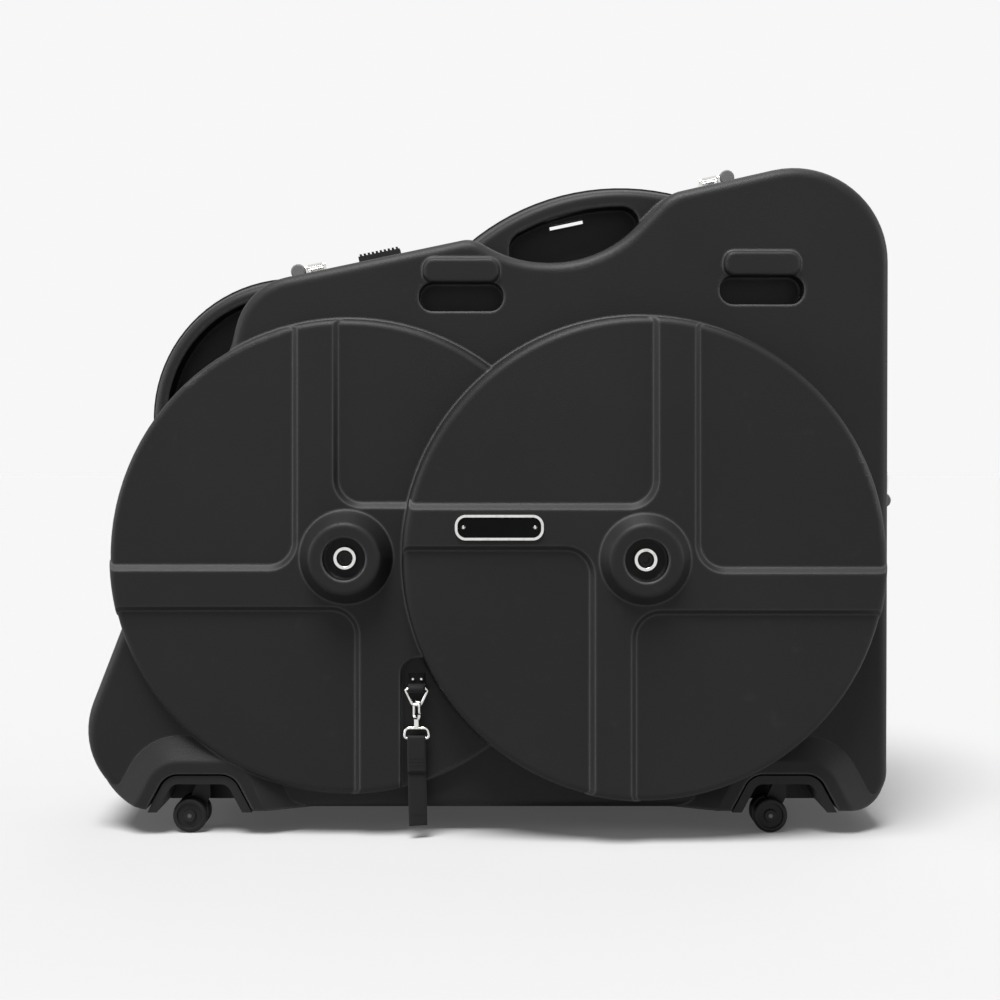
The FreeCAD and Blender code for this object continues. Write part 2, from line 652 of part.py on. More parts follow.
def hingeLeaf(x, faceDepth, taper, spans):
    """Leaf under one half; its knuckles take the spans given along X."""
    gap = size.seatGap / 3
    thick = size.hingeLeafThick
    start = size.hingeBarrelRadius + size.hingeGap
    end = start + size.hingeLeafReach
    inner = underside(start, faceDepth, taper) - gap
    outer = underside(end, faceDepth, taper) - gap
    whole = (x - size.hingeLength / 2, x + size.hingeLength / 2)

    def strip(corners, limits):
        wire = Part.makePolygon([place(limits[0], depth, z) for depth, z in corners + corners[:1]])
        return Part.Face(wire).extrude(Vector(limits[1] - limits[0], 0, 0))

    shapes = [strip([(start, inner), (end, outer), (end, outer - thick), (start, inner - thick)], whole)]
    root = size.hingeBarrelRadius / 2
    for low, high in spans:
        limits = (x + low, x + high)
        arm = [(0, hingeZ - root), (0, hingeZ + root), (start, inner), (start + root, inner - thick)]
        shapes.append(strip(arm, limits))
        shapes.append(Part.makeCylinder(size.hingeBarrelRadius, high - low, place(limits[0], 0, hingeZ),
                                        Vector(1, 0, 0)))
    bore = Part.makeCylinder(size.hingePinRadius + size.turnClearance, size.hingeLength,
                             place(whole[0], 0, hingeZ), Vector(1, 0, 0))
    return union(shapes).cut(bore)


reach = size.hingeLength / 2
middleSpan = [(-knuckle / 2, knuckle / 2)]
outerSpans = [(-reach, -knuckle / 2 - size.hingeGap), (knuckle / 2 + size.hingeGap, reach)]
keep("hinge_leaves_front", Part.makeCompound([hingeLeaf(x, size.frontDepth, 0, outerSpans) for x in hingeXs]))
keep("hinge_leaves_back", Part.makeCompound(
    [mirrored(hingeLeaf(x, size.backDepth, size.backTaper, middleSpan)) for x in hingeXs]))
rimFoot = "Sizes.groundClearance - Sizes.rimGrow - Sizes.sealProud"
hingeHeight = f"{rimFoot} - Sizes.hingeBarrelRadius - Sizes.hingeGap"
pins = []
for index in (-1, 0, 1):
    start = f"Sizes.hubOffset + {index} * Sizes.hingeSpacing - Sizes.hingeLength / 2"
    pins.append(bound("Part::Cylinder", f"hinge_pin_{index + 2}", (start, "0", hingeHeight), Vector(1, 0, 0),
                      Radius="Sizes.hingePinRadius", Height="Sizes.hingeLength"))
keepBound("Part::Compound", "hinge_pins", Links=pins)

# Latches: a hooked lever on the front half draws a keeper on the back half across the rim
grown = insetCorners(outline, -size.rimGrow)


def edgeSeat(first, second, alongShare):
    """Point on a straight side of the rim, and the turn that stands Z along its normal."""
    start = grown[first]
    along = grown[second] - start
    spot = start + along * alongShare
    turn = FreeCAD.Rotation(yAxis, -math.degrees(math.atan2(along.y, along.x)))
    return FreeCAD.Placement(place(spot.x, 0, spot.y), turn)


topLatchShare = 0.295
shoulderLatchShare = 0.233
sideLatchShare = 0.513
bumperShare = 0.585
latchSeats = {
    "top": edgeSeat(7, 6, topLatchShare),
    "shoulder": edgeSeat(3, 2, shoulderLatchShare),
    "side": edgeSeat(2, 1, sideLatchShare),
}


def seated(shape, seat):
    """Move a shape that was modelled about the rim's middle to its place on the rim."""
    moved = shape.copy()
    moved.Placement = seat.multiply(moved.Placement)
    return moved


def localStrip(corners, width, radii=None):
    """Profile of (depth, height) corners, extruded along the rim about its middle."""
    points = [flat(-depth, up) for depth, up in corners]
    wire = roundedWire(points, radii or [0] * len(points), lambda spot: Vector(-width / 2, spot.x, spot.y))
    return Part.Face(wire).extrude(Vector(width, 0, 0))


def localRod(radius, width, depth, up, x=0):
    return Part.makeCylinder(radius, width, Vector(x - width / 2, -depth, up), Vector(1, 0, 0))


pivotDepth = size.latchPivotDepth
pivotUp = size.latchPivotHeight
plateEnd = size.latchRimGap + size.latchPlateReach


def latchBase():
    plate = localStrip([(size.latchRimGap, 0), (plateEnd, 0), (plateEnd, size.latchPlateThick),
                        (size.latchRimGap, size.latchPlateThick)], size.latchWidth)
    ears = []
    radius = size.latchEarRadius
    for sign in (-1, 1):
        shift = Vector(sign * (size.latchWidth - size.latchEarThick) / 2, 0, 0)
        web = localStrip([(pivotDepth - radius, 0), (pivotDepth + radius, 0), (pivotDepth + radius, pivotUp),
                          (pivotDepth - radius, pivotUp)], size.latchEarThick)
        ear = web.fuse(localRod(radius, size.latchEarThick, pivotDepth, pivotUp))
        ear.translate(shift)
        ears.append(ear)
    return union([plate] + ears).cut(localRod(size.latchPinRadius, size.latchWidth, pivotDepth, pivotUp))


def latchLever():
    thick = size.latchLeverThick
    low = pivotUp - thick / 2
    high = pivotUp + thick / 2
    tip = -size.latchReach
    thumb = pivotDepth + size.latchEarRadius
    width = size.latchWidth - 2 * size.latchEarThick - 2 * size.hingeGap
    arm = localStrip([(thumb, high + thick), (thumb, high), (pivotDepth, low), (tip + thick, low),
                      (tip + thick, size.latchPlateThick + thick), (tip, size.latchPlateThick + thick),
                      (tip, high), (pivotDepth, high + thick)], width)
    arm = arm.fuse(localRod(size.latchPinRadius + thick / 2, width, pivotDepth, pivotUp))
    bore = localRod(size.latchPinRadius + size.turnClearance, width, pivotDepth, pivotUp)
    return arm.cut(bore).removeSplitter()


def latchKeeper():
    bar = -size.latchReach + size.latchLeverThick + 2 * size.seatGap
    end = -size.keeperPlateReach
    thick = size.latchPlateThick
    top = pivotUp - size.latchLeverThick
    return localStrip([(-size.latchRimGap, 0), (-size.latchRimGap, thick), (bar + size.keeperBar, thick),
                       (bar + size.keeperBar, top), (bar, top), (bar, thick), (end, thick), (end, 0)],
                      size.latchWidth)


def lockBarrel(side):
    radius = size.lockBarrelRadius
    centre = Vector(side * (size.latchWidth / 2 + size.hingeGap + radius), -size.latchRimGap, radius)
    barrel = Part.makeCylinder(radius, size.lockBarrelLength, centre, -yAxis)
    rims = [edge for edge in barrel.Edges if isinstance(edge.Curve, Part.Circle)]
    return barrel.makeFillet(radius / 4, rims)


lockSides = {"top": -1, "shoulder": 1, "side": 1}
latchPin = localRod(size.latchPinRadius, size.latchWidth, pivotDepth, pivotUp)
for name, shape in (("latch_bases", latchBase()), ("latch_keepers", latchKeeper()), ("latch_pins", latchPin)):
    keep(name, Part.makeCompound([seated(shape, seat) for seat in latchSeats.values()]))
barrels = [seated(lockBarrel(lockSides[name]), seat) for name, seat in latchSeats.items()]
keep("lock_barrels", Part.makeCompound(barrels))
for name, seat in latchSeats.items():
    keep(f"latch_lever_{name}", seated(latchLever(), seat))


def bumper():
    """Ribbed rubber strip on the top edge of the front half, level with the slope of that face."""
    near = size.bumperSetback
    far = near + size.bumperWidth
    fall = size.rimGrow / (size.frontDepth - rim)
    feet = [-(depth - rim) * fall + size.seatGap / 3 for depth in (near, far)]
    top = size.bumperThick - size.ribHeight
    strip = localStrip([(far, feet[1]), (far, top), (near, top), (near, feet[0])], size.bumperLength)
    ribs = [strip]
    count = int(size.bumperLength / size.ribPitch)
    rib = localStrip([(far, top - size.ribHeight), (far, top + size.ribHeight), (near, top + size.ribHeight),
                      (near, top - size.ribHeight)], size.ribPitch / 2)
    for index in range(count):
        copy = rib.copy()
        copy.translate(Vector((index - (count - 1) / 2) * size.ribPitch, 0, 0))
        ribs.append(copy)
    return union(ribs)


keep("top_bumper", seated(bumper(), edgeSeat(7, 6, bumperShare)))

# Badge: a bare plate in a chrome frame on the left arm of the right dish
badgeX = rightHubX - size.badgeOffset
badgeZ = size.hubHeight + size.badgeRise
badgePoints, badgeRadii = bar(badgeX, badgeZ, size.badgeLength, size.badgeHeight, size.badgeCornerRadius)
badgeFace = size.rightDishDepth
edge = size.badgeFrameWidth
frameOuter = prism(badgePoints, badgeRadii, badgeFace, badgeFace + size.badgeFrameThick)
frameInner = prism(badgePoints, badgeRadii, badgeFace, badgeFace + size.badgeFrameThick, edge, edge)
keep("badge_frame", frameOuter.cut(frameInner))
keep("badge_plate", prism(badgePoints, badgeRadii, badgeFace, badgeFace + size.badgeThick, edge, edge))
rivets = []
for index, sign in (("left", "-1"), ("right", "1")):
    reachOut = f"{sign} * (Sizes.badgeLength / 2 - Sizes.badgeHeight / 3)"
    x = f"{hubExpressions['right']} - Sizes.badgeOffset + {reachOut}"
    rivets.append(bound("Part::Cone", f"badge_rivet_{index}",
                        (x, "Sizes.rightDishDepth + Sizes.badgeThick", "Sizes.hubHeight + Sizes.badgeRise"),
                        -yAxis, Radius1="Sizes.badgeRivetRadius", Radius2="Sizes.badgeRivetRadius / 2",
                        Height="Sizes.badgeThick"))
keepBound("Part::Compound", "badge_rivets", Links=rivets)

# Pull strap: anchor, ring, snap hook, swivelling D ring and doubled webbing, one below the other
strapX = -size.strapOffset
strapDepth = pocketFloor + size.strapStandoff
anchorZ = size.strapRise
ringFootZ = anchorZ - size.ringHeight
hookTop = ringFootZ + size.ringWire + size.linkGap + size.hookWire
hookFoot = hookTop - size.hookLength
collarTop = hookFoot
collarEnd = collarTop - size.hookWire - size.swivelLength
dRingTop = collarEnd - size.linkGap - size.ringWire
dRingFoot = dRingTop - size.dRingHeight


def bentWire(points, radii, lift, thick):
    """Closed loop of round wire."""
    path = roundedWire(points, radii, lift)
    first = path.Edges[1]
    start = first.valueAt(first.FirstParameter)
    section = Part.Wire(Part.makeCircle(thick, start, first.tangentAt(first.FirstParameter)))
    ordered = Part.Wire(path.Edges[1:] + path.Edges[:1])
    return ordered.makePipeShell([section], True, False)


alongX = Vector(1, 0, 0)
pocketFace = "Sizes.leftDishDepth - Sizes.strapPocketDepth"
hangDepth = f"{pocketFace} + Sizes.strapStandoff"
eyeRadius = "Sizes.ringWire + Sizes.linkGap"
anchorLeft = "-Sizes.strapOffset - Sizes.anchorPlateWidth / 2"
anchorFoot = f"Sizes.strapRise - ({eyeRadius} + Sizes.anchorPlateThick)"
plate = bound("Part::Box", "anchor_plate", (anchorLeft, f"{pocketFace} + Sizes.anchorPlateThick", anchorFoot),
              Vector(0, 0, 1), Length="Sizes.anchorPlateWidth", Width="Sizes.anchorPlateThick",
              Height="Sizes.anchorPlateHeight")
web = bound("Part::Box", "anchor_web", (anchorLeft, hangDepth, anchorFoot), Vector(0, 0, 1),
            Length="Sizes.anchorPlateWidth", Width="Sizes.strapStandoff", Height="Sizes.anchorPlateThick")
spot = (anchorLeft, hangDepth, "Sizes.strapRise")
roll = bound("Part::Cylinder", "anchor_roll", spot, alongX, Radius=f"{eyeRadius} + Sizes.anchorPlateThick",
             Height="Sizes.anchorPlateWidth")
eye = bound("Part::Cylinder", "anchor_eye", spot, alongX, Radius=eyeRadius, Height="Sizes.anchorPlateWidth")
loop = doc.addObject("Part::MultiFuse", "anchor_loop")
loop.Shapes = [plate, web, roll]
loop.Refine = True
keepBound("Part::Cut", "strap_anchor", Base=loop, Tool=eye)
rivets = []
for index, sign in (("left", "-1"), ("right", "1")):
    rivets.append(bound("Part::Cone", f"anchor_rivet_{index}",
                        (f"{sign} * Sizes.anchorPlateWidth / 4 - Sizes.strapOffset",
                         "Sizes.leftDishDepth - Sizes.strapPocketDepth + Sizes.anchorPlateThick",
                         "Sizes.strapRise + Sizes.anchorPlateHeight / 2"), -yAxis,
                        Radius1="Sizes.anchorRivetRadius", Radius2="Sizes.anchorRivetRadius / 2",
                        Height="Sizes.anchorPlateThick"))
keepBound("Part::Compound", "anchor_rivets", Links=rivets)


def onStrap(spot):
    return place(strapX + spot.x, strapDepth, spot.y)


def onHook(spot):
    turn = math.radians(size.hookTurn)
    return place(strapX + spot.x * math.cos(turn), strapDepth + spot.x * math.sin(turn), spot.y)


footHalf = size.ringFootSpan / 2
ringHalf = size.ringSpan / 2
keep("triangle_ring", bentWire(
    [flat(-footHalf, ringFootZ), flat(footHalf, ringFootZ),
     flat(ringHalf, anchorZ), flat(-ringHalf, anchorZ)],
    [2 * size.ringWire] * 2 + [size.ringCornerRadius] * 2, onStrap, size.ringWire))

hookHalf = size.hookWidth / 2
gateLow = hookFoot + hookHalf
gateHigh = hookTop - hookHalf


def gateRod(radius, low, high):
    return Part.makeCylinder(radius, high - low, onHook(flat(hookHalf, low)), Vector(0, 0, 1))


def snapHook():
    points = [flat(-hookHalf, hookFoot), flat(hookHalf, hookFoot),
              flat(hookHalf, hookTop), flat(-hookHalf, hookTop)]
    roundShare = 0.48
    loop = bentWire(points, [size.hookWidth * roundShare] * 4, onHook, size.hookWire)
    loop = loop.cut(gateRod(2 * size.hookWire, gateLow, gateHigh))
    collar = Part.makeCylinder(size.swivelRadius, collarTop - collarEnd, place(strapX, strapDepth, collarEnd))
    bore = Part.makeCylinder(size.ringWire + size.turnClearance, size.swivelLength,
                             place(strapX, strapDepth, collarEnd))
    return loop.fuse(collar).cut(bore)


def hookGate():
    """Sprung gate that closes the hook, on a cross pin at its foot."""
    low = gateLow + size.linkGap + size.gateWire
    rod = gateRod(size.gateWire, low, gateHigh - size.linkGap)
    turn = math.radians(size.hookTurn)
    across = Vector(-math.sin(turn), -math.cos(turn), 0)
    pinStart = onHook(flat(hookHalf, low)) - across * (size.hookWire / 2)
    pin = Part.makeCylinder(size.gateWire, size.hookWire, pinStart, across)
    return rod.fuse(pin).removeSplitter()


keep("snap_hook", snapHook())
keep("hook_gate", hookGate())


def dRing():
    half = size.dRingSpan / 2
    shoulderShare = 0.85
    points = [flat(-half, dRingFoot), flat(half, dRingFoot), flat(half * shoulderShare, dRingTop),
              flat(-half * shoulderShare, dRingTop)]
    wire = size.ringWire
    loop = bentWire(points, [2 * wire, 2 * wire, 3 * wire, 3 * wire], onStrap, wire)
    post = Part.makeCylinder(wire, size.swivelLength, place(strapX, strapDepth, dRingTop))
    return loop.fuse(post)


keep("d_ring", dRing())


# Webbing folded round the bar of the D ring and sewn to itself
strapLeft = "-Sizes.strapOffset - Sizes.strapWidth / 2"
barHeight = "Sizes.strapRise - Sizes.ringHeight - Sizes.hookLength - Sizes.swivelLength - Sizes.dRingHeight"
spot = (strapLeft, hangDepth, barHeight)
fold = bound("Part::Cylinder", "strap_fold", spot, alongX, Radius=f"{eyeRadius} + Sizes.strapThick",
             Height="Sizes.strapWidth")
eye = bound("Part::Cylinder", "strap_eye", spot, alongX, Radius=eyeRadius, Height="Sizes.strapWidth")
tail = bound("Part::Box", "strap_tail",
             (strapLeft, f"{hangDepth} + Sizes.strapThick", f"{barHeight} - Sizes.strapLength"),
             Vector(0, 0, 1), Length="Sizes.strapWidth", Width="2 * Sizes.strapThick",
             Height="Sizes.strapLength")
length = doc.addObject("Part::MultiFuse", "strap_length")
length.Shapes = [fold, tail]
length.Refine = True
keepBound("Part::Cut", "pull_strap", Base=length, Tool=eye)

# Inside the back half: a foam sheet against its face, with two tie-down straps and their buckles
foamFar = size.backDepth - size.wallThick - size.seatGap
foamNear = foamFar - size.foamThick
foamInset = size.backTaper + size.backEdgeRadius
foam = prism(outline, outlineRadii, foamNear, foamFar, foamInset, foamInset)
foam = without(foam, [archNotch(x, size.backDepth, size.wallThick + size.housingGap) for x in casterXs])
keep("back_foam", mirrored(foam))
tieDepth = foamNear - size.seatGap
tieXs = [size.hubOffset + sign * size.tieSpacing / 2 for sign in (-1, 1)]


def tieBuckle(x):
    points, radii = bar(x, size.hubHeight, size.tieWidth + size.buckleThick, size.buckleLength,
                        size.buckleThick)
    near = tieDepth - size.tieThick
    return prism(points, radii, near - size.buckleThick, near)


tieFace = "Sizes.backDepth - Sizes.wallThick - Sizes.seatGap - Sizes.foamThick - Sizes.seatGap"
bands = []
for index, sign in (("left", "-1"), ("right", "1")):
    spot = (f"Sizes.hubOffset + {sign} * Sizes.tieSpacing / 2 - Sizes.tieWidth / 2",
            f"Sizes.tieThick - ({tieFace})", "Sizes.hubHeight - Sizes.tieLength / 2")
    bands.append(bound("Part::Box", f"tie_strap_{index}", spot, Vector(0, 0, 1), Length="Sizes.tieWidth",
                       Width="Sizes.tieThick", Height="Sizes.tieLength"))
keepBound("Part::Compound", "tie_straps", Links=bands)
keep("tie_buckles", Part.makeCompound([mirrored(tieBuckle(x)) for x in tieXs]))

# The origin goes under the middle of the finished case
doc.recompute()
whole = FreeCAD.BoundBox()
for piece in nodes + boundNodes:
    whole.add(piece.Shape.optimalBoundingBox())
for piece in nodes:
    piece.Shape = piece.Shape.translated(Vector(-whole.Center.x, -whole.Center.y, 0))
sheet.set(f"B{len(sizeRows) + 1}", str(-whole.Center.x))
sheet.set(f"B{len(sizeRows) + 2}", str(-whole.Center.y))

# Every object is checked before anything is written
doc.recompute()
for item in doc.Objects:
    if "Invalid" in item.State or "Error" in item.State:
        raise RuntimeError(f"{item.Label} failed: {item.State}")
for piece in nodes + boundNodes:
    if piece.Shape.isNull() or not piece.Shape.isValid():
        raise RuntimeError(f"{piece.Label} has no valid shape")
os.makedirs("parts", exist_ok=True)
for piece in nodes + boundNodes:
    piece.Shape.exportStep(f"parts/{piece.Label}.step")
    print(piece.Label, len(piece.Shape.Solids), "solids", round(piece.Shape.Volume), "mm3")
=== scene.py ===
import json
import math
import bmesh
import bpy
from mathutils import Matrix, Vector


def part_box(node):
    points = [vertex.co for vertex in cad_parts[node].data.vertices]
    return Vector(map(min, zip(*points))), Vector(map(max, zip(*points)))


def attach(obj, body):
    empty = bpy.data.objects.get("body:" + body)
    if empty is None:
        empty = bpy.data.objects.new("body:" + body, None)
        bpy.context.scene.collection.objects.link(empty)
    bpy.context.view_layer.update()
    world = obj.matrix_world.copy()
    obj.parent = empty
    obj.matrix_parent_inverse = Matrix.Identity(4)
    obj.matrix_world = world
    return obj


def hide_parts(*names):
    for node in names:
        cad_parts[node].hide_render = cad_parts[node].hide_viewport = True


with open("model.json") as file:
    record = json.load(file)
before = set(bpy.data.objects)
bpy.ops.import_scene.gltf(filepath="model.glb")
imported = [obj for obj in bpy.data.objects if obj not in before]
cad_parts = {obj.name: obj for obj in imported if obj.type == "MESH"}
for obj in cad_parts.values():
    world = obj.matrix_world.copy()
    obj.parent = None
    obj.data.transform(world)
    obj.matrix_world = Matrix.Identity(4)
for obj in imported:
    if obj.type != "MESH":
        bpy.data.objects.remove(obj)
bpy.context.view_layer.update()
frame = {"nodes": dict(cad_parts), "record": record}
scene = bpy.context.scene
nodes = frame["nodes"]
print("frame loaded:", len(nodes), "nodes")


# camera a little above the case's middle, square to the dished half
viewpoint = {"place": (-0.0021, -2.1715, 0.5466), "sensor": 36, "lens": 52.2, "shift": (0.007, -0.05)}

camera = bpy.data.objects.new("camera", bpy.data.cameras.new("camera"))
camera.location = viewpoint["place"]
camera.rotation_euler = (math.radians(90), 0, 0)
camera.data.sensor_width = viewpoint["sensor"]
camera.data.lens = viewpoint["lens"]
camera.data.shift_x, camera.data.shift_y = viewpoint["shift"]
scene.collection.objects.link(camera)
scene.camera = camera
scene.view_settings.view_transform = "Standard"
print("camera set")


class Flow:
    # an output socket with the arithmetic that the finishes use
    def __init__(self, finish, socket):
        self.finish = finish
        self.socket = socket

    def sum(self, operation, first, second):
        return self.finish.node("ShaderNodeMath", {"operation": operation}, {0: first, 1: second})

    def __add__(self, other):
        return self.sum("ADD", self, other)

    def __radd__(self, other):
        return self.sum("ADD", other, self)

    def __sub__(self, other):
        return self.sum("SUBTRACT", self, other)

    def __rsub__(self, other):
        return self.sum("SUBTRACT", other, self)

    def __mul__(self, other):
        return self.sum("MULTIPLY", self, other)

    def __rmul__(self, other):
        return self.sum("MULTIPLY", other, self)


class Finish:
    # one material, or the world; its nodes all come from node()
    def __init__(self, name, group="materials"):
        self.holder = getattr(bpy.data, group).new(name)
        self.holder.use_nodes = True
        self.tree = self.holder.node_tree
        self.tree.nodes.clear()

    def node(self, kind, settings=None, inputs=None, out=0):
        made = self.tree.nodes.new(kind)
        for key, value in (settings or {}).items():
            if key == "stops":
                ramp = made.color_ramp.elements
                for stop, (spot, level) in zip((ramp[0], ramp[1]), value):
                    stop.position = spot
                    stop.color = tone(level)
            else:
                setattr(made, key, value)
        for key, value in (inputs or {}).items():
            socket = made.inputs[key]
            if isinstance(value, Flow):
                self.tree.links.new(value.socket, socket)
            else:
                socket.default_value = value
        return Flow(self, made.outputs[out]) if made.outputs else None

    def place(self):
        return self.node("ShaderNodeTexCoord", out="Object")

    def noise(self, scale, detail=2.0):
        return self.node("ShaderNodeTexNoise", {"noise_dimensions": "3D"},
                         {"Vector": self.place(), "Scale": scale, "Detail": detail})

    def cells(self, scale, smoothness=0.4):
        return self.node("ShaderNodeTexVoronoi", {"feature": "SMOOTH_F1"},
                         {"Vector": self.place(), "Scale": scale, "Smoothness": smoothness})

    def ramp(self, value, low, high):
        return self.node("ShaderNodeValToRGB", {"stops": ((low, 0.0), (high, 1.0))}, {"Fac": value})

    def mix(self, factor, first, second):
        return self.node("ShaderNodeMix", {"data_type": "RGBA"}, {0: factor, 6: first, 7: second}, 2)

    def axes(self):
        split = self.node("ShaderNodeSeparateXYZ", None, {"Vector": self.place()})
        return [Flow(self, socket) for socket in split.socket.node.outputs]

    def seen(self):
        # 1 on the rays that show the pale studio: to the camera, and in metal and glass
        rays = self.node("ShaderNodeLightPath").socket.node.outputs
        return sum(Flow(self, rays[f"Is {kind} Ray"]) for kind in ("Camera", "Glossy", "Transmission"))

    def wave(self, value, pitch):
        return self.node("ShaderNodeMath", {"operation": "SINE"}, {0: value * (2 * math.pi / pitch)})

    def bump(self, height, strength, distance, normal=None):
        inputs = {"Height": height, "Strength": strength, "Distance": distance}
        if normal:
            inputs["Normal"] = normal
        return self.node("ShaderNodeBump", None, inputs)

    def rounded(self, radius, samples=6):
        # the normal with its edges rounded off, and how far it leans from the true one
        soft = self.node("ShaderNodeBevel", {"samples": samples}, {"Radius": radius})
        true = self.node("ShaderNodeNewGeometry", out="True Normal")
        lean = self.node("ShaderNodeVectorMath", {"operation": "DOT_PRODUCT"}, {0: soft, 1: true}, "Value")
        return soft, 1 - lean

    def surface(self, **sockets):
        inputs = {key.replace("_", " "): value for key, value in sockets.items()}
        shader = self.node("ShaderNodeBsdfPrincipled", None, inputs)
        self.node("ShaderNodeOutputMaterial", None, {"Surface": shader})
        return self.holder


def tone(level, tint=(1, 1, 1)):
    return tuple(level * part for part in tint) + (1,)


# thermoformed black plastic with a leather-like grain and random paler rubbed patches, with a painted
# highlight: its edges and creases are painted paler
shellLook = {"dark": 0.007, "pale": 0.012, "rubbed": 0.028, "edgeHighlightTone": 0.1, "shine": 0.2,
             "grainScale": 620, "fineShare": 0.5, "fineRatio": 2.2, "grainDepth": 0.00035, "grainForce": 0.35,
             "driftScale": 5.0, "driftDetail": 4.0, "rubScale": 38.0, "rubDetail": 6.0,
             "rubBand": (0.66, 0.86), "rubShare": 0.4, "edge": 0.006, "edgeHighlightBand": (0.005, 0.12),
             "edgeHighlightLeast": 0.55, "edgeHighlightDrift": 0.45, "rough": 0.36, "roughDrift": 0.14, "roughGrain": 0.1}


def shellPlastic():
    look = shellLook
    finish = Finish("shell_plastic")
    fine = finish.noise(look["grainScale"] * look["fineRatio"])
    grain = finish.cells(look["grainScale"]) + look["fineShare"] * fine
    drift = finish.noise(look["driftScale"], look["driftDetail"])
    rubbed = finish.ramp(finish.noise(look["rubScale"], look["rubDetail"]), *look["rubBand"])
    base = finish.mix(drift, tone(look["dark"]), tone(look["pale"]))
    flat = finish.mix(rubbed * look["rubShare"], base, tone(look["rubbed"]))
    soft, lean = finish.rounded(look["edge"])
    # painted highlight: where the rounded normal leans from the true one, at edges and creases alike, the
    # colour is painted paler
    painted_edge_highlight = finish.ramp(lean, *look["edgeHighlightBand"]) * (look["edgeHighlightLeast"] + look["edgeHighlightDrift"] * drift)
    colour = finish.mix(painted_edge_highlight, flat, tone(look["edgeHighlightTone"]))
    rough = look["rough"] + look["roughDrift"] * drift + look["roughGrain"] * grain
    normal = finish.bump(grain, look["grainForce"], look["grainDepth"], soft)
    return finish.surface(Base_Color=colour, Roughness=rough, Normal=normal,
                          Specular_IOR_Level=look["shine"])


# smooth injection-moulded plastic of the arch inserts, forks, locks and buckles
mouldedLook = {"driftScale": 24.0, "driftDetail": 3.0, "sparkScale": 1500.0, "sparkDetail": 1.0,
               "darker": 0.8, "paler": 1.25, "sparkForce": 0.12, "sparkDepth": 0.0002, "roughDrift": 0.1,
               "shine": 0.2}


def mouldedPlastic(name, level, roughness):
    look = mouldedLook
    finish = Finish(name)
    drift = finish.noise(look["driftScale"], look["driftDetail"])
    sparks = finish.noise(look["sparkScale"], look["sparkDetail"])
    colour = finish.mix(drift, tone(level * look["darker"]), tone(level * look["paler"]))
    normal = finish.bump(sparks, look["sparkForce"], look["sparkDepth"])
    return finish.surface(Base_Color=colour, Roughness=roughness + look["roughDrift"] * drift, Normal=normal,
                          Specular_IOR_Level=look["shine"])


# rubber of the seal, the bumper and the wheel treads, with a faint bloom
rubberLook = {"bloomScale": 60.0, "bloomDetail": 5.0, "poreScale": 2100.0, "darker": 0.7, "paler": 1.4,
              "poreForce": 0.25, "poreDepth": 0.0002, "roughBloom": 0.12, "shine": 0.2}


def rubberCompound(name, level, roughness):
    look = rubberLook
    finish = Finish(name)
    bloom = finish.noise(look["bloomScale"], look["bloomDetail"])
    pores = finish.noise(look["poreScale"])
    colour = finish.mix(bloom, tone(level * look["darker"]), tone(level * look["paler"]))
    normal = finish.bump(pores, look["poreForce"], look["poreDepth"])
    return finish.surface(Base_Color=colour, Roughness=roughness + look["roughBloom"] * bloom, Normal=normal,
                          Specular_IOR_Level=look["shine"])


# plated and anodised metal, with hairlines and a little grime
platedLook = {"hairScale": 900.0, "grimeScale": 160.0, "grimeDetail": 4.0, "grimeBand": (0.5, 0.75),
              "grimeShare": 0.5, "grimeTone": 0.55, "clean": (1, 0.99, 0.97), "grimy": (1, 0.98, 0.95),
              "hairForce": 0.06, "hairDepth": 0.0001, "roughGrime": 0.14, "roughHair": 0.05}


def platedMetal(name, level, roughness):
    look = platedLook
    finish = Finish(name)
    hairs = finish.noise(look["hairScale"])
    grime = finish.ramp(finish.noise(look["grimeScale"], look["grimeDetail"]), *look["grimeBand"])
    colour = finish.mix(grime * look["grimeShare"], tone(level, look["clean"]),
                        tone(level * look["grimeTone"], look["grimy"]))
    normal = finish.bump(hairs, look["hairForce"], look["hairDepth"])
    rough = roughness + look["roughGrime"] * grime + look["roughHair"] * hairs
    return finish.surface(Base_Color=colour, Roughness=rough, Metallic=1.0, Normal=normal)


# black face of the badge
badgeLook = {"hazeScale": 45.0, "hazeDetail": 4.0, "dark": 0.002, "pale": 0.005, "rough": 0.28,
             "roughHaze": 0.1, "shine": 0.05}


def glossPlate():
    look = badgeLook
    finish = Finish("badge_gloss")
    haze = finish.noise(look["hazeScale"], look["hazeDetail"])
    colour = finish.mix(haze, tone(look["dark"]), tone(look["pale"]))
    return finish.surface(Base_Color=colour, Roughness=look["rough"] + look["roughHaze"] * haze,
                          Specular_IOR_Level=look["shine"])


# polyester webbing: ribs across the width, a plain weave between them
weaveLook = {"pitch": 0.0016, "rib": 0.0011, "dark": 0.004, "pale": 0.013, "level": 0.5, "warpShare": 0.28,
             "crossShare": 0.22, "fuzzScale": 800.0, "fuzzDetail": 3.0, "clothShare": 0.6, "fuzzShare": 0.4,
             "force": 0.6, "depth": 0.0004, "rough": 0.62, "roughFuzz": 0.2, "sheen": 0.06, "sheenRough": 0.5,
             "shine": 0.2}


def webbingCloth(name, acrossAxis, alongAxis):
    look = weaveLook
    finish = Finish(name)
    parts = finish.axes()
    warp = finish.wave(parts[acrossAxis], look["pitch"])
    weft = finish.wave(parts[alongAxis], look["rib"])
    cloth = look["level"] + look["warpShare"] * warp + look["crossShare"] * weft * warp
    fuzz = finish.noise(look["fuzzScale"], look["fuzzDetail"])
    thread = look["clothShare"] * cloth + look["fuzzShare"] * fuzz
    colour = finish.mix(thread, tone(look["dark"]), tone(look["pale"]))
    normal = finish.bump(cloth, look["force"], look["depth"])
    rough = look["rough"] + look["roughFuzz"] * fuzz
    return finish.surface(Base_Color=colour, Roughness=rough, Normal=normal, Sheen_Weight=look["sheen"],
                          Sheen_Roughness=look["sheenRough"], Specular_IOR_Level=look["shine"])


